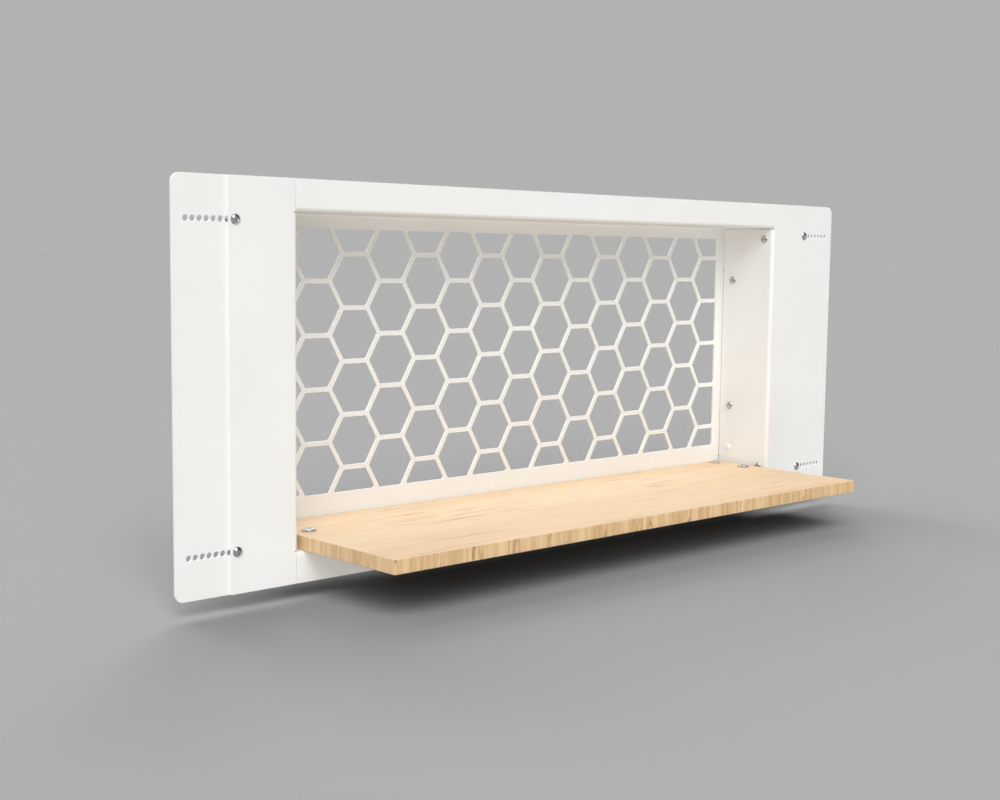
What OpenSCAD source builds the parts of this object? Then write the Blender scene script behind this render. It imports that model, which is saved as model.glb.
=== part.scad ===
// Window guard: a folded steel box with a hexagon grille, two sliding side wings and a wooden perch.
// The origin lies on the plane of the wings' rear faces, midway between their outermost holes.
// +X runs along the width, +Y runs through the window from the room side, +Z is up.

/* [Box] */
// Overall height of the guard
frame_h = 350; // [280:1:460]
// Clear width between the two side walls
opening_w = 668; // [460:1:900]
// Height of the rim above and below the opening
rim_h = 28; // [20:0.5:40]
// Width of each side flange, out from the inner face of its wall
flange_w = 68; // [60:0.5:90]
// Depth from the front face to the front of the grille
box_d = 72; // [60:0.5:110]

/* [Sheet] */
// Thickness of every sheet part
sheet_t = 2; // [1.2:0.1:2.5]
// Inside radius of every bend
bend_r = 2; // [1:0.1:2.5]
// Seam between the side flanges and the upper and lower flanges
seam_gap = 0.3; // [0.2:0.05:0.8]
// Gap between a side wall and the tabs outside it
tab_gap = 0.2; // [0.1:0.05:0.4]
// Gap left around the edges of a side wall, clear of the bends
wall_edge_gap = 1.5; // [1.2:0.1:2.5]
// Width of the relief cut at each end of a tab
relief_w = 1.5; // [1:0.1:3]

/* [Grille] */
// Distance between the centres of two cells in a column
cell_pitch = 50.6; // [40:0.1:60]
// Width of the bars between the cells
bar_w = 4.5; // [3:0.1:8]
// Corner radius of the cells
cell_corner_r = 2; // [0.5:0.1:4]
// Solid margin above the cells
grille_top_margin = 12.5; // [8:0.5:20]
// Least solid margin below the cells, which takes up what the rows of cells leave
grille_low_margin = 22; // [14:0.5:30]
// Solid margin beside the cells
grille_side_margin = 13; // [10:0.5:30]

/* [Tabs] */
// Distance of the front screws from the front face and from the upper or lower wall
front_screw_inset = 12.5; // [10:0.5:16]
// Length of an end tab beyond its screw, along the wall and down it
end_tab_reach = 9.5; // [7:0.5:14]
// Distance of the rear screws from the front of the grille
rear_screw_inset = 14.5; // [12:0.5:20]
// Drop of the upper rear screw from the upper wall
rear_screw_drop = 61.5; // [40:0.5:80]
// Height of the lower rear screw over the lower wall
rear_screw_rise = 81.5; // [60:0.5:100]
// Height of the plugged hole over the lower wall
plug_rise = 30.5; // [26:0.5:40]
// Length of a rear tab beyond its screws, and beyond the plugged hole
rear_tab_reach = 11; // [8:0.5:14]

/* [Wings] */
// Number of holes in one row of a wing
wing_holes = 8; // [4:1:8]
// Distance between two holes of a row
wing_hole_pitch = 6.5; // [6.2:0.1:8]
// Distance from the end holes of a row to the edges of the wing
wing_margin = 13; // [8:0.5:14]
// Radius of the outer corners of a wing
wing_corner_r = 8; // [3:0.5:12]
// Distance of the wing screws from the outer edge of the flange
wing_screw_inset = 6.5; // [5.5:0.1:9]
// Distance of the hole rows from the upper and lower edges
wing_row_inset = 36; // [20:0.5:60]
// Sliding gap in front of a wing and behind it
slide_gap = 0.1; // [0.05:0.05:0.3]

/* [Shelf] */
// Depth of the board, front to back
shelf_d = 198; // [150:1:260]
// Thickness of the board
shelf_t = 13; // [9:0.5:18]
// Gap between each end of the board and its wall
shelf_side_gap = 6; // [4:0.5:12]
// Gap between the board and the grille
shelf_back_gap = 0.5; // [0.3:0.1:3]
// How far the bevel under the board's back edge starts in front of the bend
shelf_bevel_gap = 0.5; // [0.2:0.1:2]
// Distance of the shelf screws from the ends of the board
shelf_screw_end = 16.5; // [12:0.5:40]
// Distance of the front shelf screws from the front face of the guard
shelf_screw_front = 16.5; // [16:0.5:26]
// Distance of the rear shelf screws from the back edge of the board
shelf_screw_back = 12.5; // [8:0.5:16]

/* [Small fasteners] */
// Thread diameter of the wing and side screws
small_d = 5; // [4:0.1:5]
// Hole diameter for the wing and side screws
small_hole_d = 5.3; // [5.2:0.1:5.6]
// Head diameter of the wing and side screws
small_head_d = 9.5; // [7.5:0.1:9.5]
// Head height of the wing and side screws
small_head_h = 2.75; // [2:0.05:3]
// Hexagon socket of the wing and side screws, across flats
small_socket = 3; // [2:0.1:3.5]
// Nut size, across flats
small_nut_w = 8; // [7.5:0.1:8.5]
// Nut height
small_nut_h = 4; // [3:0.1:5]
// Washer diameter
small_washer_d = 10; // [9:0.1:11]
// Washer thickness
small_washer_t = 1; // [0.5:0.1:1.2]
// Length of the wing screws under the head
wing_screw_l = 12; // [11:0.5:16]
// Length of the side screws under the head
side_screw_l = 10; // [9.5:0.5:16]
// Radial gap between a thread and its nut
thread_gap = 0.05; // [0.02:0.01:0.1]

/* [Shelf fasteners] */
// Thread diameter of the shelf screws
shelf_screw_d = 6; // [5:0.1:6]
// Hole diameter for the shelf screws
shelf_hole_d = 6.5; // [6.3:0.1:7]
// Diameter of the low, wide head
shelf_head_d = 13.6; // [12:0.1:14]
// Height of the head at its middle
shelf_head_h = 2.8; // [2.6:0.1:3.6]
// Height of the head's upright rim
shelf_head_rim = 1.8; // [1:0.1:2]
// Hexagon socket of the shelf screws, across flats
shelf_socket = 4; // [3:0.1:4]
// Nut size, across flats
shelf_nut_w = 10; // [9.5:0.1:10.5]
// Nut height
shelf_nut_h = 5; // [4:0.1:6]
// Washer diameter
shelf_washer_d = 12; // [11.5:0.1:14]
// Washer thickness
shelf_washer_t = 1.6; // [1:0.1:2]
// Length of the shelf screws under the head
shelf_screw_l = 25; // [25:0.5:35]

/* [Hole plugs] */
// Diameter of the plug's cap
plug_cap_d = 10; // [8:0.1:12]
// Height of the plug's cap
plug_cap_h = 1.6; // [1:0.1:3]
// Radial gap around the plug's stem
plug_stem_gap = 0.15; // [0.05:0.05:0.4]
// Length of the stem beyond the tab
plug_stem_past = 1.5; // [0.5:0.1:4]

/* [Hidden] */
$fn = 48;

white_paint = [0.94, 0.94, 0.92];
pale_wood = [0.93, 0.79, 0.60];
bright_steel = [0.72, 0.72, 0.73];
cut = 1;

// Sheet planes, from front to back
bend_out = bend_r + sheet_t;
front_y = -(2 * sheet_t + slide_gap);
grille_y = front_y + box_d;
top_z = frame_h / 2;
opening_z = top_z - rim_h;

// Side planes, from the middle outwards
wall_x = opening_w / 2;
wall_out_x = wall_x + sheet_t;
seam_x = wall_x + sheet_t;
flange_x = wall_x + flange_w;
tab_x = wall_out_x + tab_gap;
tab_root_x = tab_x - bend_r;

// Side walls stop short of the bends
wall_top_z = opening_z - wall_edge_gap;
wall_back_y = grille_y - wall_edge_gap;

// Grille cells: flat-topped regular hexagons in staggered columns
cell_flats = cell_pitch - bar_w;
cell_r = cell_flats / sqrt(3);
column_pitch = cell_pitch * sqrt(3) / 2;
cells_top_z = opening_z - grille_top_margin;
cells_room = cells_top_z + opening_z - grille_low_margin;
cell_rows = floor((cells_room + bar_w) / cell_pitch);
cells_h = cell_rows * cell_pitch - bar_w;
cells_mid_z = cells_top_z - cells_h / 2;
cells_x = wall_x - grille_side_margin;
last_column = ceil((cells_x - bar_w + cell_r) / column_pitch) - 1;

// Side screws of one side, as [y, z]
front_screw_y = front_y + front_screw_inset;
front_screw_z = opening_z - front_screw_inset;
rear_screw_y = grille_y - rear_screw_inset;
rear_screw_zs = [opening_z - rear_screw_drop, rear_screw_rise - opening_z];
side_screw_places = [
    [front_screw_y, front_screw_z], [front_screw_y, -front_screw_z],
    [rear_screw_y, rear_screw_zs[0]], [rear_screw_y, rear_screw_zs[1]]
];
plug_z = plug_rise - opening_z;

// Tabs that the side screws hold
end_tab_y0 = max(front_y + bend_out, front_screw_y - end_tab_reach);
end_tab_y1 = front_screw_y + end_tab_reach;
end_tab_z = front_screw_z - end_tab_reach;
rear_tab_y = rear_screw_y - rear_tab_reach;
rear_tab_z0 = plug_z - rear_tab_reach;
rear_tab_z1 = rear_screw_zs[0] + rear_tab_reach;

// Wings, drawn out as far as their holes allow
wing_screw_x = flange_x - wing_screw_inset;
wing_row_z = top_z - wing_row_inset;
wing_in_x = wing_screw_x - wing_margin;
wing_out_x = wing_screw_x + (wing_holes - 1) * wing_hole_pitch + wing_margin;
wing_y = -sheet_t;

// Shelf board on the lower wall
shelf_back_y = grille_y - shelf_back_gap;
shelf_front_y = shelf_back_y - shelf_d;
shelf_x = wall_x - shelf_side_gap;
shelf_bevel = bend_r + shelf_bevel_gap;
shelf_z = -opening_z;
shelf_top_z = shelf_z + shelf_t;
shelf_screw_x = shelf_x - shelf_screw_end;
shelf_screw_ys = [front_y + shelf_screw_front, shelf_back_y - shelf_screw_back];
shelf_under_z = shelf_z - sheet_t;

// A unit vector along v
function unit(v) = v / norm(v);

// The part of a convex outline where n * p is at most d
function clipped(outline, n, d) = [
    for (i = [0 : len(outline) - 1])
        let (a = outline[i], b = outline[(i + 1) % len(outline)], ha = n * a - d, hb = n * b - d)
        each concat(ha <= 0 ? [a] : [], ha * hb < 0 ? [a + (b - a) * ha / (ha - hb)] : [])
];

// Centre and two ends of the arc that rounds the corner b between a and c
function corner_arc(a, b, c, r) =
    let (
        u = unit(a - b),
        v = unit(c - b),
        half = acos(u * v) / 2,
        room = 0.45 * min(norm(a - b), norm(c - b)) * tan(half),
        fit_r = min(r, room),
        reach = fit_r / tan(half)
    )
    [b + unit(u + v) * fit_r / sin(half), b + u * reach, b + v * reach, fit_r];

// A convex outline, counter-clockwise, with every corner rounded
module rounded(outline, r) {
    n = len(outline);
    arcs = [for (i = [0 : n - 1]) corner_arc(outline[(i + n - 1) % n], outline[i], outline[(i + 1) % n], r)];
    polygon([for (arc = arcs) each [arc[1], arc[2]]]);
    for (arc = arcs)
        translate(arc[0])
            circle(r = arc[3]);
}

// Outline of one cell at [x, z], cut off at the edges of the grille's field
function cell_outline(x, z) =
    let (
        hexagon = [for (k = [0 : 5]) [x, z] + cell_r * [cos(60 * k), sin(60 * k)]],
        right_cut = clipped(hexagon, [1, 0], cells_x),
        left_cut = clipped(right_cut, [-1, 0], cells_x),
        top_cut = clipped(left_cut, [0, 1], cells_top_z)
    )
    clipped(top_cut, [0, -1], cells_h - cells_top_z);

// Flat stretch of sheet between two corners
module flat(low, high) {
    translate(low)
        square(high - low);
}

// Quarter ring of a bend in the quadrant that starts at the given angle
module bend(centre, angle) {
    translate(centre)
        rotate(angle)
            intersection() {
                difference() {
                    circle(r = bend_out);
                    circle(r = bend_r);
                }
                square(bend_out);
            }
}

// Extrusions of a 2D profile: (y, z) along X, (x, z) along Y, (x, y) along Z
module along_x(x0, x1) {
    translate([x0, 0, 0])
        rotate([90, 0, 90])
            linear_extrude(x1 - x0)
                children();
}

module along_y(y0, y1) {
    translate([0, y1, 0])
        rotate([90, 0, 0])
            linear_extrude(y1 - y0)
                children();
}

module along_z(z0, z1) {
    translate([0, 0, z0])
        linear_extrude(z1 - z0)
            children();
}

// Repeats on the right, for side 1, or on the left, for side -1
module on_side(side) {
    mirror([side < 0 ? 1 : 0, 0, 0])
        children();
}

module on_both_sides() {
    for (side = [-1, 1])
        on_side(side)
            children();
}

module above_and_below() {
    children();
    mirror([0, 0, 1])
        children();
}

// Flange, wall and half of the grille's sheet, seen from the end
module channel_profile() {
    wall_y0 = front_y + bend_out;
    wall_y1 = grille_y - bend_r;
    flat([front_y, opening_z + bend_out], [front_y + sheet_t, top_z]);
    bend([wall_y0, opening_z + bend_out], 180);
    flat([wall_y0, opening_z], [wall_y1, opening_z + sheet_t]);
    bend([wall_y1, opening_z - bend_r], 0);
    flat([grille_y, 0], [grille_y + sheet_t, opening_z - bend_r]);
}

// Tab at the end of the upper wall, bent down outside the side wall
module end_tab() {
    along_y(end_tab_y0, end_tab_y1) {
        flat([tab_root_x - relief_w, opening_z], [tab_root_x, opening_z + sheet_t]);
        bend([tab_root_x, opening_z - bend_r], 0);
        flat([tab_x, end_tab_z], [tab_x + sheet_t, opening_z - bend_r]);
    }
}

// Tab at the side of the grille, bent forward outside the side wall
module rear_tab() {
    along_z(rear_tab_z0, rear_tab_z1) {
        flat([tab_root_x - relief_w, grille_y], [tab_root_x, grille_y + sheet_t]);
        bend([tab_root_x, grille_y - bend_r], 0);
        flat([tab_x, rear_tab_y], [tab_x + sheet_t, grille_y - bend_r]);
    }
}

// Room cut out of the sheet's edge for a tab's bend and its relief cuts
module end_tab_notch() {
    y0 = end_tab_y0 - relief_w;
    translate([tab_root_x, y0, opening_z - cut])
        cube([sheet_t + bend_out, end_tab_y1 + relief_w - y0, sheet_t + 2 * cut]);
}

module rear_tab_notch() {
    z0 = rear_tab_z0 - relief_w;
    translate([tab_root_x, grille_y - cut, z0])
        cube([sheet_t + bend_out, sheet_t + 2 * cut, rear_tab_z1 + relief_w - z0]);
}

// Round hole through a side wall and its tab
module side_hole(place) {
    translate([wall_x - cut, place[0], place[1]])
        rotate([0, 90, 0])
            cylinder(d = small_hole_d, h = 2 * sheet_t + tab_gap + 2 * cut);
}

module side_holes() {
    for (place = side_screw_places)
        side_hole(place);
    side_hole([rear_screw_y, plug_z]);
}

module shelf_holes(z0, z1) {
    for (side = [-1, 1])
        for (y = shelf_screw_ys)
            translate([side * shelf_screw_x, y, z0])
                cylinder(d = shelf_hole_d, h = z1 - z0);
}

// All the cells of the grille; odd columns sit half a cell lower and end in cut cells
module cells() {
    along_y(grille_y - cut, grille_y + sheet_t + cut)
        for (column = [-last_column : last_column]) {
            odd = abs(column) % 2;
            for (row = [0 : cell_rows - 1 + odd])
                rounded(
                    cell_outline(column * column_pitch, cells_mid_z + ((cell_rows - 1 + odd) / 2 - row) * cell_pitch),
                    cell_corner_r);
        }
}

module hexagon_channel() {
    color(white_paint)
        difference() {
            union() {
                difference() {
                    above_and_below()
                        along_x(-seam_x + seam_gap / 2, seam_x - seam_gap / 2)
                            channel_profile();
                    on_both_sides() {
                        above_and_below()
                            end_tab_notch();
                        rear_tab_notch();
                    }
                }
                on_both_sides() {
                    above_and_below()
                        end_tab();
                    rear_tab();
                }
            }
            on_both_sides()
                side_holes();
            shelf_holes(shelf_under_z - cut, shelf_z + cut);
            cells();
        }
}

// Full-height flange and side wall in one bent sheet
module side_frame(side) {
    color(white_paint)
        on_side(side)
            difference() {
                union() {
                    along_z(-wall_top_z, wall_top_z) {
                        flat([wall_x + bend_out, front_y], [flange_x, front_y + sheet_t]);
                        bend([wall_x + bend_out, front_y + bend_out], 180);
                        flat([wall_x, front_y + bend_out], [wall_out_x, wall_back_y]);
                    }
                    above_and_below()
                        along_y(front_y, front_y + sheet_t) {
                            flat([wall_x + bend_out, wall_top_z], [flange_x, opening_z]);
                            flat([seam_x + seam_gap / 2, opening_z], [flange_x, top_z]);
                        }
                }
                side_holes();
                above_and_below()
                    translate([wing_screw_x, front_y - cut, wing_row_z])
                        rotate([-90, 0, 0])
                            cylinder(d = small_hole_d, h = sheet_t + 2 * cut);
            }
}

// Outline of a wing, with its outer corners rounded
module wing_outline() {
    straight_x = wing_out_x - wing_corner_r;
    straight_z = top_z - wing_corner_r;
    flat([wing_in_x, -top_z], [straight_x, top_z]);
    flat([straight_x, -straight_z], [wing_out_x, straight_z]);
    for (z = [-straight_z, straight_z])
        translate([straight_x, z])
            circle(r = wing_corner_r);
}

module wing(side) {
    color(white_paint)
        on_side(side)
            difference() {
                along_y(wing_y, wing_y + sheet_t)
                    wing_outline();
                above_and_below()
                    for (hole = [0 : wing_holes - 1])
                        translate([wing_screw_x + hole * wing_hole_pitch, wing_y - cut, wing_row_z])
                            rotate([-90, 0, 0])
                                cylinder(d = small_hole_d, h = sheet_t + 2 * cut);
            }
}

// Ball that passes through a head's rim and its crown
module dome(d, h) {
    ball_r = (d * d / 4 + h * h) / (2 * h);
    translate([0, 0, h - ball_r])
        sphere(r = ball_r, $fn = 96);
}

// Domed screw on +Z: the head stands on z = 0 and the shank hangs below it
module domed_screw(d, l, head_d, head_h, rim, socket) {
    difference() {
        union() {
            translate([0, 0, -l])
                cylinder(d = d, h = l + rim);
            cylinder(d = head_d, h = rim);
            intersection() {
                cylinder(d = head_d, h = head_h);
                translate([0, 0, rim])
                    dome(head_d, head_h - rim);
            }
        }
        translate([0, 0, 0.4 * head_h])
            cylinder(d = socket / cos(30), h = head_h, $fn = 6);
    }
}

module small_screw(l) {
    domed_screw(small_d, l, small_head_d, small_head_h, 0.1 * small_head_h, small_socket);
}

// Hexagon nut on +Z, standing on z = 0
module nut(w, h, thread_d) {
    bevel = 0.1 * w;
    difference() {
        intersection() {
            cylinder(d = w / cos(30), h = h, $fn = 6);
            union() {
                cylinder(d = w / cos(30) + cut, h = h - bevel);
                translate([0, 0, h - bevel])
                    cylinder(d1 = w / cos(30), d2 = w / cos(30) - 2 * bevel, h = bevel);
            }
        }
        translate([0, 0, -cut])
            cylinder(d = thread_d + 2 * thread_gap, h = h + 2 * cut);
    }
}

module washer(d, hole_d, t) {
    difference() {
        cylinder(d = d, h = t);
        translate([0, 0, -cut])
            cylinder(d = hole_d, h = t + 2 * cut);
    }
}

module wing_screw(side, level) {
    color(bright_steel)
        translate([side * wing_screw_x, front_y, level * wing_row_z])
            rotate([90, 0, 0])
                small_screw(wing_screw_l);
}

// Behind a wing, facing back, at both of its screws
module behind_wing(side, y) {
    for (level = [-1, 1])
        translate([side * wing_screw_x, y, level * wing_row_z])
            rotate([-90, 0, 0])
                children();
}

module wing_washers(side) {
    color(bright_steel)
        behind_wing(side, slide_gap)
            washer(small_washer_d, small_hole_d, small_washer_t);
}

module wing_nuts(side) {
    color(bright_steel)
        behind_wing(side, slide_gap + small_washer_t)
            nut(small_nut_w, small_nut_h, small_d);
}

module side_screws(side) {
    color(bright_steel)
        on_side(side)
            for (place = side_screw_places)
                translate([wall_x, place[0], place[1]])
                    rotate([0, -90, 0])
                        small_screw(side_screw_l);
}

module side_nuts(side) {
    color(bright_steel)
        on_side(side)
            for (place = side_screw_places)
                translate([tab_x + sheet_t, place[0], place[1]])
                    rotate([0, 90, 0])
                        nut(small_nut_w, small_nut_h, small_d);
}

// Domed cap on the inner face of the wall, with a stem through the wall and its tab
module hole_plug(side) {
    stem_l = 2 * sheet_t + tab_gap + plug_stem_past;
    color(white_paint)
        on_side(side)
            translate([wall_x, rear_screw_y, plug_z])
                rotate([0, -90, 0])
                    union() {
                        intersection() {
                            cylinder(d = plug_cap_d, h = plug_cap_h);
                            dome(plug_cap_d, plug_cap_h);
                        }
                        translate([0, 0, -stem_l])
                            cylinder(d = small_hole_d - 2 * plug_stem_gap, h = stem_l + plug_cap_h / 2);
                    }
}

// The board's lower back edge is bevelled to clear the bend behind it
module shelf_board() {
    color(pale_wood)
        difference() {
            along_x(-shelf_x, shelf_x)
                polygon([
                    [shelf_front_y, shelf_z], [shelf_back_y - shelf_bevel, shelf_z],
                    [shelf_back_y, shelf_z + shelf_bevel], [shelf_back_y, shelf_top_z], [shelf_front_y, shelf_top_z]
                ]);
            shelf_holes(shelf_z - cut, shelf_top_z + cut);
        }
}

// At the four shelf screws, on the given level
module at_shelf_screws(z) {
    for (side = [-1, 1])
        for (y = shelf_screw_ys)
            translate([side * shelf_screw_x, y, z])
                children();
}

module shelf_screws() {
    color(bright_steel)
        at_shelf_screws(shelf_top_z)
            domed_screw(shelf_screw_d, shelf_screw_l, shelf_head_d, shelf_head_h, shelf_head_rim, shelf_socket);
}

module shelf_washers() {
    color(bright_steel)
        at_shelf_screws(shelf_under_z - shelf_washer_t)
            washer(shelf_washer_d, shelf_hole_d, shelf_washer_t);
}

module shelf_nuts() {
    color(bright_steel)
        at_shelf_screws(shelf_under_z - shelf_washer_t)
            mirror([0, 0, 1])
                nut(shelf_nut_w, shelf_nut_h, shelf_screw_d);
}

hexagon_channel();
side_frame(-1);  // left_side_frame
side_frame(1);  // right_side_frame
shelf_board();
wing(-1);  // left_wing
wing(1);  // right_wing
wing_screw(-1, 1);  // left_upper_wing_screw
wing_screw(-1, -1);  // left_lower_wing_screw
wing_screw(1, 1);  // right_upper_wing_screw
wing_screw(1, -1);  // right_lower_wing_screw
wing_washers(-1);  // left_wing_washers
wing_washers(1);  // right_wing_washers
wing_nuts(-1);  // left_wing_nuts
wing_nuts(1);  // right_wing_nuts
side_screws(-1);  // left_side_screws
side_screws(1);  // right_side_screws
side_nuts(-1);  // left_side_nuts
side_nuts(1);  // right_side_nuts
hole_plug(-1);  // left_hole_plug
hole_plug(1);  // right_hole_plug
shelf_screws();
shelf_washers();
shelf_nuts();
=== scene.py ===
import math

import bmesh
import bpy
from mathutils import Euler, Matrix, Vector


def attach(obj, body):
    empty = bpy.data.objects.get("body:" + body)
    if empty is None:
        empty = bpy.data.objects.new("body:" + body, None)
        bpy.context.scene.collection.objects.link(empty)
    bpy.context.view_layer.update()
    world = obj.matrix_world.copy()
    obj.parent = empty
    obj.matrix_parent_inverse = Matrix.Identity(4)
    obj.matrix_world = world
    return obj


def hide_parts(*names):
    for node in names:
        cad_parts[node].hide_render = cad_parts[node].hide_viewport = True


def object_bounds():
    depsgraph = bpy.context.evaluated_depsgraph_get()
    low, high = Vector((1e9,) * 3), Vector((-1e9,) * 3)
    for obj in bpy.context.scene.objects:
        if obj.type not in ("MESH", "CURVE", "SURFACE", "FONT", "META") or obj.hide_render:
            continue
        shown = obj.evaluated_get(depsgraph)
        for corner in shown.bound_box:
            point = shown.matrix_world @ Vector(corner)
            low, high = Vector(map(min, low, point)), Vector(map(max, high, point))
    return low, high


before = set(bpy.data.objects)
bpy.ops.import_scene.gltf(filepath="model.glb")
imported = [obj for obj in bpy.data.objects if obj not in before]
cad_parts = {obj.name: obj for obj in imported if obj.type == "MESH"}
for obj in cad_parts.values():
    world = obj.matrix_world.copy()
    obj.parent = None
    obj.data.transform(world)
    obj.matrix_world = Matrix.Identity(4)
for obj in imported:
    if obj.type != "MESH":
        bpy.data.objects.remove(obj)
cad_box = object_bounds()
scene = bpy.context.scene
scene.view_settings.view_transform = "Standard"

MM = 0.001

# The camera as fitted to the photograph at 1000 x 800: its lens in millimetres, how it is turned
# in degrees, and its place in metres
LENS, SENSOR, SHIFT_X = 51.474, 36.0, -0.0065
HEADING, PITCH, ROLL = -43.025, -5.798, -0.712
EYE = (-1.03901, -1.02248, 0.11253)

# What the camera sees behind the part, and the light that comes evenly from everywhere
BACKGROUND, EVEN_LIGHT = 0.445, 0.15

# How far the ground reaches each way, and how far below the part it lies, in metres
FLOOR_REACH, HOVER = 60.0, 0.015

# Places in millimetres, the same as in the CAD source
WING_X, WING_Z, FRONT_Y, WING_BACK_Y = 395.5, 139.0, -4.1, 0.1
WALL_X, TAB_OUT_X = 334.0, 338.2
SIDE_PLACES = [(8.4, 134.5), (8.4, -134.5), (53.4, 85.5), (53.4, -65.5)]
PLUG_PLACE = (53.4, -116.5)
SHELF_X, SHELF_YS, SHELF_TOP, SHELF_UNDER = 311.5, (12.4, 54.9), -134.0, -149.0

# Fasteners in millimetres: the small ones are M5 and the perch's are M6
M5_R, M5_PITCH, M5_WASHER = 2.5, 0.8, 1.0
M6_R, M6_PITCH, M6_WASHER = 3.0, 1.0, 1.6
NUT_PLAY = 0.05

# How round the edges of the sheets and of the board are, and where an edge counts as sharp
SHEET_EASE, BOARD_EASE = 0.15 * MM, 0.7 * MM
SHARP_EDGE = math.radians(32)

# Sockets of the colour mix node, whose names it shares with its other kinds
MIX_FACTOR, MIX_A, MIX_B, MIX_RESULT = 0, 6, 7, 2


# ---------- camera ----------
def add_camera():
    data = bpy.data.cameras.new("camera")
    data.sensor_fit = "HORIZONTAL"
    data.sensor_width = SENSOR
    data.lens = LENS
    data.shift_x = SHIFT_X
    data.clip_start = 0.05
    data.clip_end = 200.0
    turn = Euler((0, 0, math.radians(HEADING))).to_matrix()
    tip = Euler((math.radians(PITCH), 0, 0)).to_matrix()
    roll = Euler((0, math.radians(ROLL), 0)).to_matrix()
    axes = turn @ tip @ roll
    right, forward, up = axes.col[0], axes.col[1], axes.col[2]
    pose = Matrix((right, up, -forward)).transposed().to_4x4()
    pose.translation = Vector(EYE)
    cam = bpy.data.objects.new("camera", data)
    cam.matrix_world = pose
    scene.collection.objects.link(cam)
    scene.camera = cam


# ---------- node helpers ----------
class Tree:
    """A node tree, emptied, with short calls for the nodes that are used here."""

    def __init__(self, tree):
        self.tree = tree
        tree.nodes.clear()

    def add(self, kind, **values):
        node = self.tree.nodes.new(kind)
        for name, value in values.items():
            setattr(node, name, value)
        return node

    def link(self, source, target):
        self.tree.links.new(source, target)

    def feed(self, target, value):
        """Link an output to the socket, or set the socket's own value."""
        if isinstance(value, bpy.types.NodeSocket):
            self.link(value, target)
        else:
            target.default_value = value

    def math(self, operation, a, b=None):
        node = self.add("ShaderNodeMath", operation=operation)
        self.feed(node.inputs[0], a)
        if b is not None:
            self.feed(node.inputs[1], b)
        return node.outputs[0]

    def place(self):
        """The point's place in the part's own frame."""
        return self.add("ShaderNodeTexCoord").outputs["Object"]

    def noise(self, scale, stretch=(1, 1, 1), detail=3.0, rough=0.5, twist=0.0):
        """Noise in the part's own frame, of scale times stretch cells a metre along each axis."""
        fit = self.add("ShaderNodeMapping")
        self.link(self.place(), fit.inputs["Vector"])
        fit.inputs["Scale"].default_value = [scale * s for s in stretch]
        node = self.add("ShaderNodeTexNoise")
        self.link(fit.outputs[0], node.inputs["Vector"])
        node.inputs["Scale"].default_value = 1.0
        node.inputs["Detail"].default_value = detail
        node.inputs["Roughness"].default_value = rough
        node.inputs["Distortion"].default_value = twist
        return node.outputs["Fac"]

    def span(self, value, low, high, out_low=0.0, out_high=1.0, smooth=False):
        """Stretch low..high to out_low..out_high, and hold the value beyond both ends."""
        kind = "SMOOTHSTEP" if smooth else "LINEAR"
        node = self.add("ShaderNodeMapRange", interpolation_type=kind)
        self.link(value, node.inputs["Value"])
        node.inputs["From Min"].default_value = low
        node.inputs["From Max"].default_value = high
        node.inputs["To Min"].default_value = out_low
        node.inputs["To Max"].default_value = out_high
        return node.outputs["Result"]

    def mix(self, factor, a, b):
        """Colour a where the factor is 0, and b where it is 1."""
        node = self.add("ShaderNodeMix", data_type="RGBA")
        self.feed(node.inputs[MIX_FACTOR], factor)
        for socket, colour in ((MIX_A, a), (MIX_B, b)):
            linked = isinstance(colour, bpy.types.NodeSocket)
            self.feed(node.inputs[socket], colour if linked else (*colour, 1.0))
        return node.outputs[MIX_RESULT]

    def bump(self, height, depth, strength=1.0, under=None):
        """The normal of a skin that is depth metres deep, over that of another one."""
        node = self.add("ShaderNodeBump")
        node.inputs["Strength"].default_value = strength
        node.inputs["Distance"].default_value = depth
        self.link(height, node.inputs["Height"])
        if under is not None:
            self.link(under, node.inputs["Normal"])
        return node.outputs["Normal"]


def new_material(name):
    mat = bpy.data.materials.new(name)
    mat.use_nodes = True
    t = Tree(mat.node_tree)
    bsdf = t.add("ShaderNodeBsdfPrincipled")
    out = t.add("ShaderNodeOutputMaterial")
    t.link(bsdf.outputs[0], out.inputs["Surface"])
    return mat, t, bsdf


# ---------- light: a surround, a ground that catches the shadow, and soft lamps ----------
def towards(azimuth, height):
    """The direction of a point of the sky: azimuth from +X over +Y and height, in degrees."""
    a, h = math.radians(azimuth), math.radians(height)
    return Vector((math.cos(h) * math.cos(a), math.cos(h) * math.sin(a), math.sin(h)))


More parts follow.
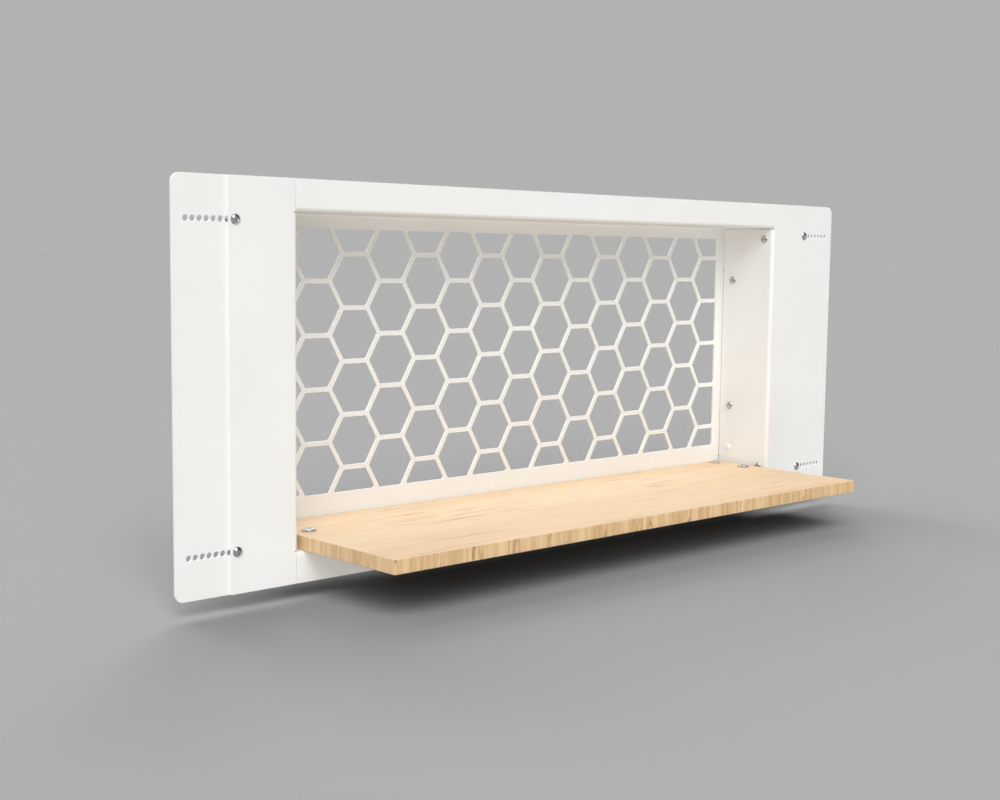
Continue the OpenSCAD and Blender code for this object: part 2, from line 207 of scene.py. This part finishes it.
def add_surround():
    """The camera sees an even grey, reflections show a calm room, and soft boxes give the light."""
    world = bpy.data.worlds.new("studio")
    scene.world = world
    world.use_nodes = True
    t = Tree(world.node_tree)
    way = t.add("ShaderNodeTexCoord").outputs["Generated"]
    ray = t.add("ShaderNodeLightPath")
    box_edge, box_core = 0.7, 1.0
    boxes = [
        # azimuth and height of the box in degrees, its radiance
        (0, 90, 0.180),
        (0, 40, 0.778),
        (45, 40, 0.667),
        (90, 40, 1.014),
        (135, 40, 1.126),
    ]

    def lobe(azimuth, height, edge, core, low, high):
        """From low outside the edge to high inside the core, given as cosines from its middle."""
        dot = t.add("ShaderNodeVectorMath", operation="DOT_PRODUCT")
        t.link(way, dot.inputs[0])
        dot.inputs[1].default_value = towards(azimuth, height)
        return t.span(dot.outputs["Value"], edge, core, low, high, smooth=True)

    def background(strength):
        node = t.add("ShaderNodeBackground")
        node.inputs["Color"].default_value = (1.0, 1.0, 1.0, 1)
        t.feed(node.inputs["Strength"], strength)
        return node.outputs[0]

    def choose(ray_kind, otherwise, then):
        mix = t.add("ShaderNodeMixShader")
        t.link(ray.outputs[ray_kind], mix.inputs[0])
        t.link(otherwise, mix.inputs[1])
        t.link(then, mix.inputs[2])
        return mix.outputs[0]

    light = EVEN_LIGHT
    for azimuth, height, radiance in boxes:
        light = t.math("ADD", lobe(azimuth, height, box_edge, box_core, 0.0, radiance), light)

    # The reflected room is grey, dark to its right and low at the back, and bright high at the
    # back; its key box is at its upper left
    dark_right = lobe(328, 35, 0.45, 0.88, 0.42, 0.09)
    dim_low_back = lobe(100, -5, 0.78, 0.95, 1.0, 0.35)
    bright_back = lobe(65, 50, 0.55, 0.93, 0.0, 0.9)
    key_box = lobe(243, 47, 0.925, 0.982, 0.0, 4.0)
    room = t.math("ADD", t.math("MULTIPLY", dark_right, dim_low_back), bright_back)
    mirrored = t.math("ADD", room, key_box)

    surround = choose("Is Glossy Ray", background(light), background(mirrored))
    surround = choose("Is Camera Ray", surround, background(BACKGROUND))
    out = t.add("ShaderNodeOutputWorld")
    t.link(surround, out.inputs["Surface"])


def add_floor():
    """The ground. It catches the shadow, and doesn't shade the object or colour it."""
    mesh = bpy.data.meshes.new("floor")
    # In the photograph the guard hovers over the ground: its shadow starts below its lower edge
    s, z = FLOOR_REACH, cad_box[0][2] - HOVER
    mesh.from_pydata([(-s, -s, z), (s, -s, z), (s, s, z), (-s, s, z)], [], [(0, 1, 2, 3)])
    floor = bpy.data.objects.new("floor", mesh)
    scene.collection.objects.link(floor)
    mat, t, bsdf = new_material("floor_grey")
    # Far away, where it meets the background's grey, it is a trace darker than near the part
    near, far = (0.8, (0.02, 0.02, 0.02)), (2.5, (0.0199, 0.0199, 0.0199))
    away = t.add("ShaderNodeVectorMath", operation="LENGTH")
    t.link(t.place(), away.inputs[0])
    tone = t.mix(t.span(away.outputs["Value"], near[0], far[0]), near[1], far[1])
    t.link(tone, bsdf.inputs["Base Color"])
    bsdf.inputs["Roughness"].default_value = 1.0
    bsdf.inputs["Specular IOR Level"].default_value = 0.0
    mesh.materials.append(mat)
    floor.visible_diffuse = floor.visible_glossy = floor.visible_shadow = False
    return floor


def add_lamps(floor):
    """Large soft lamps: some light the object alone, and the others the floor alone."""
    groups = {}
    for name, state in (("floor_alone", "INCLUDE"), ("all_but_floor", "EXCLUDE")):
        groups[name] = bpy.data.collections.new(name)
        groups[name].objects.link(floor)
        groups[name].collection_objects[0].light_linking.link_state = state
    lamps = {
        # azimuth and height of the lamp and its width, all in degrees, and its energy
        "all_but_floor": [
            (205, 3, 50, 0.629),
            (230, 28, 36, 0.337),
            (260, 28, 36, 0.327),
            (230, 45, 36, 0.852),
            (260, 45, 36, 0.744),
            (230, -30, 50, 0.436),
            (260, -30, 50, 0.242),
            (295, -30, 50, 0.345),
        ],
        "floor_alone": [
            (225, 32, 50, 42.905),
            (240, 45, 36, 15.648),
            (180, 45, 36, 5.930),
            (250, 45, 12, 2.490),
            (45, 40, 24, 12.448),
            (90, 40, 24, 7.210),
            (135, 40, 24, 0.160),
            (45, 60, 25, 4.515),
            (135, 60, 25, 3.865),
            (90, 60, 30, 8.350),
            (160, 30, 25, 1.770),
        ],
    }
    for group, rows in lamps.items():
        for azimuth, height, width, energy in rows:
            light = bpy.data.lights.new(f"lamp_{azimuth}_{height}", "SUN")
            light.angle = math.radians(width)
            light.energy = energy
            lamp = bpy.data.objects.new(light.name, light)
            lamp.rotation_mode = "QUATERNION"
            lamp.rotation_quaternion = towards(azimuth, height).to_track_quat("Z", "Y")
            scene.collection.objects.link(lamp)
            lamp.light_linking.receiver_collection = groups[group]
            lamp.visible_glossy = False


# ---------- materials: noise scales are in cells a metre, bump depths in metres ----------
def powder_coat():
    """Baked powder paint: a faint cloud in its whiteness, and the fine orange peel of its skin."""
    mat, t, bsdf = new_material("powder_coat")
    dull, bright, speck = (0.869, 0.869, 0.845), (0.893, 0.893, 0.870), (0.80, 0.79, 0.765)
    cloud = t.span(t.noise(14, detail=3.0), 0.3, 0.7)
    specks = t.span(t.noise(1500, detail=1.0), 0.62, 0.8)
    tint = t.mix(cloud, dull, bright)
    tint = t.mix(t.math("MULTIPLY", specks, 0.35), tint, speck)
    t.link(tint, bsdf.inputs["Base Color"])
    peel = t.bump(t.noise(650, detail=2.0), 0.00006, 0.6)
    grit = t.bump(t.noise(2600, detail=1.0), 0.000015, 0.6, under=peel)
    t.link(grit, bsdf.inputs["Normal"])
    t.link(t.span(t.noise(420, detail=2.0), 0.3, 0.7, 0.44, 0.56), bsdf.inputs["Roughness"])
    bsdf.inputs["Specular IOR Level"].default_value = 0.4
    return mat


def perch_wood():
    """Pale board: fine grain along X on the faces, upright streaks on the edges all round."""
    mat, t, bsdf = new_material("perch_wood")
    coordinates = t.add("ShaderNodeTexCoord")
    facing = t.add("ShaderNodeSeparateXYZ")
    t.link(coordinates.outputs["Normal"], facing.inputs[0])
    across = t.add("ShaderNodeSeparateXYZ")
    t.link(coordinates.outputs["Object"], across.inputs[0])
    is_face = t.span(t.math("ABSOLUTE", facing.outputs["Z"]), 0.45, 0.8)
    painted_light_ends = t.span(t.math("ABSOLUTE", facing.outputs["X"]), 0.45, 0.8)

    def rings(field, count, width):
        """Thin lines where the field passes through each of count levels."""
        level = t.math("FRACT", t.math("MULTIPLY", field, count))
        off = t.math("ABSOLUTE", t.math("SUBTRACT", level, 0.5))
        return t.span(off, 0.0, width, 1.0, 0.0, smooth=True)

    def times(a, b):
        return t.math("MULTIPLY", a, b)

    # The faces: fibres, and broad boards of a warmer tone
    fibre = t.noise(1, (5.0, 260, 260), detail=5.0, rough=0.6)
    board = t.noise(1, (4.0, 30, 30), detail=3.0, rough=0.6, twist=0.6)
    face = t.mix(t.span(fibre, 0.3, 0.7), (0.81, 0.625, 0.43), (0.89, 0.70, 0.50))
    face = t.mix(t.span(board, 0.38, 0.62, 0.0, 0.85), face, (0.86, 0.63, 0.41))
    # darker and warmer towards the front edge and the right end, unevenly
    to_front = t.span(across.outputs["Y"], 0.0, -0.12, 0.0, 0.6)
    to_right = t.span(across.outputs["X"], 0.12, 0.32, 0.0, 0.4)
    uneven = t.span(t.noise(1, (4, 16, 16), detail=2.0), 0.3, 0.7, 0.5, 1.1)
    front_and_right_darkening = times(t.math("ADD", to_front, to_right), uneven)
    face = t.mix(front_and_right_darkening, face, (0.70, 0.505, 0.325))
    # lines of growth, darker strokes in patches, and pores
    grain = rings(t.noise(1, (2.2, 24, 24), detail=4.0, rough=0.5, twist=0.7), 8, 0.15)
    face = t.mix(times(grain, 0.20), face, (0.68, 0.46, 0.27))
    strokes = t.span(t.noise(1, (13, 210, 210), detail=3.0, rough=0.5, twist=0.7), 0.53, 0.68)
    patches = t.span(t.noise(1, (7, 20, 20), detail=2.0), 0.40, 0.58)
    face = t.mix(times(times(strokes, patches), 0.62), face, (0.56, 0.33, 0.155))
    pores = t.span(t.noise(1, (70, 1500, 1500), detail=1.0), 0.64, 0.74, 0.0, 0.25)
    face = t.mix(pores, face, (0.62, 0.43, 0.26))

    # The edges: broad and fine streaks, a few dark lines, and ends painted paler: painted light,
    # standing in for the light that falls on them from the side
    broad = t.noise(1, (95, 95, 7), detail=2.0, twist=0.4)
    upright = t.noise(1, (330, 330, 16), detail=3.0, rough=0.5, twist=0.6)
    edge = t.mix(t.span(broad, 0.32, 0.68), (0.655, 0.437, 0.227), (0.845, 0.607, 0.354))
    edge = t.mix(t.span(upright, 0.50, 0.74, 0.0, 0.75), edge, (0.46, 0.27, 0.12))
    lines = rings(t.noise(1, (60, 60, 5), detail=2.0, rough=0.4, twist=0.6), 5, 0.075)
    sparse = t.span(t.noise(1, (45, 45, 10), detail=1.0), 0.45, 0.60)
    edge = t.mix(times(times(lines, sparse), 0.8), edge, (0.33, 0.18, 0.075))
    # painted light: the end faces are made paler, as if more light fell on them
    edge = t.mix(times(painted_light_ends, 0.25), edge, (0.84, 0.62, 0.38))

    t.link(t.mix(is_face, edge, face), bsdf.inputs["Base Color"])
    fibres = t.bump(fibre, 0.00008, 0.35)
    t.link(t.bump(upright, 0.00008, 0.3, under=fibres), bsdf.inputs["Normal"])
    t.link(t.span(fibre, 0.3, 0.7, 0.52, 0.68), bsdf.inputs["Roughness"])
    bsdf.inputs["Specular IOR Level"].default_value = 0.22
    return mat


def plated_steel(name, tone, rough, wear):
    """Bright plating, a little duller and up to wear rougher where it has been handled."""
    mat, t, bsdf = new_material(name)
    smudge = t.noise(350, detail=4.0, rough=0.6)
    dull = [c * 0.93 for c in tone]
    t.link(t.mix(t.span(smudge, 0.3, 0.7), dull, tone), bsdf.inputs["Base Color"])
    t.link(t.span(smudge, 0.3, 0.7, rough, rough + wear), bsdf.inputs["Roughness"])
    t.link(t.bump(t.noise(2200, detail=2.0), 0.000008, 0.5), bsdf.inputs["Normal"])
    bsdf.inputs["Metallic"].default_value = 1.0
    return mat


def white_plastic():
    """Moulded plastic, nearly matt, with a faint cloud in it."""
    mat, t, bsdf = new_material("white_plastic")
    dull, bright = (0.855, 0.845, 0.81), (0.885, 0.875, 0.84)
    cloud = t.span(t.noise(300, detail=2.0), 0.3, 0.7)
    t.link(t.mix(cloud, dull, bright), bsdf.inputs["Base Color"])
    t.link(t.bump(t.noise(1800, detail=1.0), 0.00001, 0.5), bsdf.inputs["Normal"])
    t.link(t.span(cloud, 0.0, 1.0, 0.76, 0.86), bsdf.inputs["Roughness"])
    bsdf.inputs["Specular IOR Level"].default_value = 0.2
    return mat


# ---------- mesh helpers: small parts are drawn in millimetres, standing on z = 0 ----------
def around(r, turn, z):
    """A point at radius r and height z, turned about the axis."""
    return Vector((r * math.cos(turn), r * math.sin(turn), z)) * MM


def circle(r, z, n=48):
    return [around(r, 2 * math.pi * i / n, z) for i in range(n)]


def hexagon(across, z, n=48, bevel_r=None):
    """A hexagon's outline. With bevel_r, what reaches past that radius falls away from z at 30
    degrees: downwards, or upwards where bevel_r is negative."""
    ring = []
    for i in range(n):
        off_flat = math.radians((360 * i / n) % 60 - 30)
        r = across / 2 / math.cos(off_flat)
        fall = 0 if bevel_r is None else max(0, r - abs(bevel_r)) * math.tan(math.radians(30))
        height = z - fall if (bevel_r or 0) >= 0 else z + fall
        ring.append(around(r, 2 * math.pi * i / n, height))
    return ring


def dome_rings(r0, z0, r1, height, steps, n=48):
    """Rings of a ball's cap that is height tall over radius r0, from r0 in to r1."""
    ball = (r0 * r0 + height * height) / (2 * height)
    rings = []
    for k in range(steps + 1):
        r = r0 + (r1 - r0) * math.sin(math.pi / 2 * k / steps)
        rings.append(circle(r, z0 + height - ball + math.sqrt(ball * ball - r * r), n))
    return rings


def skin(bm, rings, loop=False, caps=False):
    """Faces from ring to ring, back to the first one in a loop, or with a face on both ends."""
    rows = [[bm.verts.new(p) for p in ring] for ring in rings]
    pairs = list(zip(rows, rows[1:])) + ([(rows[-1], rows[0])] if loop else [])
    n = len(rows[0])
    for a, b in pairs:
        for i in range(n):
            j = (i + 1) % n
            bm.faces.new((a[i], a[j], b[j], b[i]))
    if caps:
        bm.faces.new(rows[0])
        bm.faces.new(rows[-1])


def finish_mesh(bm, name, sharp_from):
    """Weld the mesh and shade it smooth, but for edges sharper than this angle in degrees."""
    bmesh.ops.remove_doubles(bm, verts=bm.verts, dist=1e-7)
    bmesh.ops.dissolve_degenerate(bm, edges=bm.edges, dist=1e-7)
    bmesh.ops.recalc_face_normals(bm, faces=bm.faces)
    mesh = bpy.data.meshes.new(name)
    bm.to_mesh(mesh)
    bm.free()
    mesh.shade_smooth()
    mesh.set_sharp_from_angle(angle=math.radians(sharp_from))
    return mesh


def head(bm, rim, dome_r, dome_z, dome_h, socket, floor_z, n=48):
    """A domed head over its rim's rings, with a hexagon socket that ends in a drilled cone."""
    mouth_r = socket / 2 / math.cos(math.pi / 6) + 0.12
    rings = rim + dome_rings(dome_r, dome_z, mouth_r, dome_h, 12, n)
    mouth_z = rings[-1][0].z / MM
    rings += [
        circle(mouth_r - 0.05, mouth_z - 0.02, n), hexagon(socket, mouth_z - 0.22, n),
        hexagon(socket, floor_z + 0.1, n), hexagon(socket - 0.15, floor_z, n),
        circle(0.9, floor_z - 0.1, n), circle(0.08, floor_z - 0.45, n),
    ]
    skin(bm, rings, caps=True)


def thread(bm, r, pitch, length, n=32):
    """A helical thread from z = 0 down to -length, with a bevelled tip."""
    core = r - 0.61 * pitch
    # one turn's outline upwards: how far along the pitch, and the radius there
    shape = [(0.0, core), (0.36, r), (0.52, r), (0.88, core)]
    steps = (int(length / pitch) + 3) * n
    lanes = []
    for offset, reach in shape:
        lane = []
        for i in range(steps + 1):
            z = -length + pitch * (i / n - 1 + offset)
            z = min(0.0, max(-length, z))
            fit = min(reach, 0.9 * core + z + length)
            lane.append(bm.verts.new(around(fit, 2 * math.pi * (i % n) / n, z)))
        lanes.append(lane)
    for i in range(steps):
        for a, b in zip(lanes, lanes[1:]):
            bm.faces.new((a[i], a[i + 1], b[i + 1], b[i]))
        if i + n + 1 <= steps:
            first, last = lanes[0], lanes[-1]
            bm.faces.new((last[i], last[i + 1], first[i + n + 1], first[i + n]))
    bmesh.ops.remove_doubles(bm, verts=bm.verts, dist=1e-8)
    bmesh.ops.dissolve_degenerate(bm, edges=bm.edges, dist=1e-8)
    open_edges = [e for e in bm.edges if len(e.link_faces) == 1]
    bmesh.ops.edgeloop_fill(bm, edges=open_edges)


def button_screw(length):
    """An M5 screw with a domed head that is 9.5 wide."""
    bm = bmesh.new()
    thread(bm, M5_R, M5_PITCH, length)
    rim = [circle(4.55, 0.0), circle(4.71, 0.06), circle(4.75, 0.17)]
    head(bm, rim, dome_r=4.75, dome_z=0.275, dome_h=2.475, socket=3.0, floor_z=1.1)
    return finish_mesh(bm, "button_screw", 32)


def low_head_screw(length):
    """An M6 screw with a wide, nearly flat head."""
    bm = bmesh.new()
    n = 72
    thread(bm, M6_R, M6_PITCH, length)
    outline = [
        (6.62, 0.0), (6.76, 0.07), (6.8, 0.2), (6.8, 1.55), (6.72, 1.82), (6.5, 2.05), (6.15, 2.23),
    ]
    rim = [circle(r, z, n) for r, z in outline]
    head(bm, rim, dome_r=5.8, dome_z=2.35, dome_h=0.45, socket=4.0, floor_z=1.1, n=n)
    return finish_mesh(bm, "low_head_screw", 32)


def nut(across, height, thread_r, pitch):
    """A hexagon nut with bevelled corners and a ribbed bore."""
    bm = bmesh.new()
    bore = thread_r + NUT_PLAY
    bevel_r = across / 2 * 0.96
    rings = [circle(bore + 0.25, 0.0)]
    for k in range(int(height / pitch)):
        rings += [circle(bore, pitch * (k + 0.35)), circle(bore + 0.22, pitch * (k + 0.85))]
    rings += [
        circle(bore + 0.25, height), circle(bevel_r - 0.15, height),
        hexagon(across, height, bevel_r=bevel_r), hexagon(across, 0.0, bevel_r=-bevel_r),
        circle(bevel_r - 0.15, 0.0),
    ]
    skin(bm, rings, loop=True)
    return finish_mesh(bm, "nut", 28)


def washer(outer, hole, thick):
    """A flat ring of these radii, with bevelled edges."""
    bm = bmesh.new()
    c = 0.12
    outline = [
        (hole, c), (hole, thick - c), (hole + c, thick), (outer - c, thick),
        (outer, thick - c), (outer, c), (outer - c, 0.0), (hole + c, 0.0),
    ]
    skin(bm, [circle(r, z) for r, z in outline], loop=True)
    return finish_mesh(bm, "washer", 50)


def snap_plug():
    """A domed cap, and a split stem whose four fingers end in barbs behind the sheets."""
    bm = bmesh.new()
    rings = [circle(2.3, 0.0), circle(4.8, 0.0), circle(4.96, 0.08), circle(5.0, 0.22)]
    rings += dome_rings(4.98, 0.3, 0.05, 1.3, 12)
    skin(bm, rings, caps=True)
    # how deep the sheets go that the plug holds, and how deep its fingers reach
    sheets, tip = -4.2, -5.7
    finger = [
        (2.4, 0.0), (2.4, sheets - 0.05), (2.85, sheets - 0.35), (2.85, sheets - 0.6),
        (2.1, tip), (1.35, tip), (1.35, 0.0),
    ]
    steps = 8
    for quarter in range(4):
        rows = []
        for k in range(steps + 1):
            turn = math.radians(90 * quarter + 8 + 74 * k / steps)
            rows.append([around(r, turn, z) for r, z in finger])
        skin(bm, rows, caps=True)
    return finish_mesh(bm, "snap_plug", 30)


# ---------- pieces ----------
def add_piece(name, mesh, body, slot, mat, *nodes):
    mesh.name = name
    mesh.materials.clear()
    mesh.materials.append(mat)
    piece = bpy.data.objects.new(name, mesh)
    scene.collection.objects.link(piece)
    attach(piece, body)
    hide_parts(*nodes)
    return piece


def eased(node, body, slot, mat, width, segments=2):
    """The node's own solid with its sharp edges rounded, as paint or sandpaper leaves them."""
    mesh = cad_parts[node].data.copy()
    bm = bmesh.new()
    bm.from_mesh(mesh)
    bmesh.ops.remove_doubles(bm, verts=bm.verts, dist=2e-6)
    bmesh.ops.dissolve_limit(bm, angle_limit=math.radians(0.2), verts=bm.verts, edges=bm.edges)
    bm.to_mesh(mesh)
    bm.free()
    mesh.shade_smooth()
    mesh.set_sharp_from_angle(angle=SHARP_EDGE)
    piece = add_piece(node + "_eased", mesh, body, slot, mat, node)
    bevel = piece.modifiers.new("eased_edges", "BEVEL")
    bevel.width = width
    bevel.segments = segments
    bevel.limit_method = "ANGLE"
    bevel.angle_limit = SHARP_EDGE
    bevel.use_clamp_overlap = False
    bevel.miter_outer = "MITER_ARC"
    flat = piece.modifiers.new("flat_faces_stay_flat", "WEIGHTED_NORMAL")
    flat.mode = "FACE_AREA"
    flat.weight = 50
    flat.keep_sharp = True


def copies(name, body, slot, mat, small, places, node):
    """One piece of equal small parts. A place is a point in millimetres and the way that the
    part's +Z looks."""
    bm = bmesh.new()
    for point, way in places:
        pose = Vector(way).to_track_quat("Z", "Y").to_matrix().to_4x4()
        pose.translation = Vector(point) * MM
        part = small.copy()
        part.transform(pose)
        bm.from_mesh(part)
        bpy.data.meshes.remove(part)
    mesh = small.copy()
    bm.to_mesh(mesh)
    bm.free()
    add_piece(name, mesh, body, slot, mat, node)


def add_sheets(paint):
    for node, body in (
        ("hexagon_channel", "frame"),
        ("left_side_frame", "frame"),
        ("right_side_frame", "frame"),
        ("left_wing", "left_wing_body"),
        ("right_wing", "right_wing_body"),
    ):
        eased(node, body, "white_steel", paint, SHEET_EASE)


def add_fasteners(bright, zinc, plastic):
    """Screws are bright, nuts and washers zinc. All but the wing screws stay with the frame."""
    wing_screw, side_screw, shelf_screw = button_screw(12), button_screw(10), low_head_screw(25)
    small_nut = nut(across=8, height=4, thread_r=M5_R, pitch=M5_PITCH)
    shelf_nut = nut(across=10, height=5, thread_r=M6_R, pitch=M6_PITCH)
    small_washer = washer(outer=5.0, hole=2.65, thick=M5_WASHER)
    shelf_washer = washer(outer=6.0, hole=3.25, thick=M6_WASHER)
    plug = snap_plug()

    def metal(name, mat, small, places, node, body="frame"):
        copies(name, body, "plated_steel", mat, small, places, node)

    for side, s in (("left", -1), ("right", 1)):
        for level, z in (("upper", WING_Z), ("lower", -WING_Z)):
            node = f"{side}_{level}_wing_screw"
            place = [((s * WING_X, FRONT_Y, z), (0, -1, 0))]
            body = f"{side}_{level}_screw_body"
            metal(node + "_threaded", bright, wing_screw, place, node, body)
        behind = [((s * WING_X, WING_BACK_Y, z), (0, 1, 0)) for z in (-WING_Z, WING_Z)]
        on_washers = [((x, y + M5_WASHER, z), way) for (x, y, z), way in behind]
        inside = [((s * WALL_X, y, z), (-s, 0, 0)) for y, z in SIDE_PLACES]
        outside = [((s * TAB_OUT_X, y, z), (s, 0, 0)) for y, z in SIDE_PLACES]
        spare = [((s * WALL_X, *PLUG_PLACE), (-s, 0, 0))]
        for kind, form, mat, small, places in (
            ("_wing_washers", "_flat", zinc, small_washer, behind),
            ("_wing_nuts", "_bevelled", zinc, small_nut, on_washers),
            ("_side_screws", "_threaded", bright, side_screw, inside),
            ("_side_nuts", "_bevelled", zinc, small_nut, outside),
        ):
            metal(side + kind + form, mat, small, places, side + kind)
        name, node = side + "_snap_plug", side + "_hole_plug"
        copies(name, "frame", "white_plastic", plastic, plug, spare, node)

    corners = [(x, y) for x in (-SHELF_X, SHELF_X) for y in SHELF_YS]
    on_board = [((x, y, SHELF_TOP), (0, 0, 1)) for x, y in corners]
    under = [((x, y, SHELF_UNDER), (0, 0, -1)) for x, y in corners]
    under_washers = [((x, y, SHELF_UNDER - M6_WASHER), (0, 0, -1)) for x, y in corners]
    metal("shelf_screws_threaded", bright, shelf_screw, on_board, "shelf_screws")
    metal("shelf_washers_flat", zinc, shelf_washer, under, "shelf_washers")
    metal("shelf_nuts_bevelled", zinc, shelf_nut, under_washers, "shelf_nuts")

    # The pieces have their own copies of these
    patterns = [wing_screw, side_screw, shelf_screw, small_nut, shelf_nut]
    for mesh in patterns + [small_washer, shelf_washer, plug]:
        bpy.data.meshes.remove(mesh)


add_camera()
add_surround()
add_lamps(add_floor())
add_sheets(powder_coat())
eased("shelf_board", "frame", "perch_wood", perch_wood(), BOARD_EASE, segments=3)
add_fasteners(
    plated_steel("bright_plating", (0.67, 0.66, 0.65), rough=0.10, wear=0.08),
    plated_steel("zinc_plating", (0.62, 0.62, 0.63), rough=0.22, wear=0.15),
    white_plastic(),
)
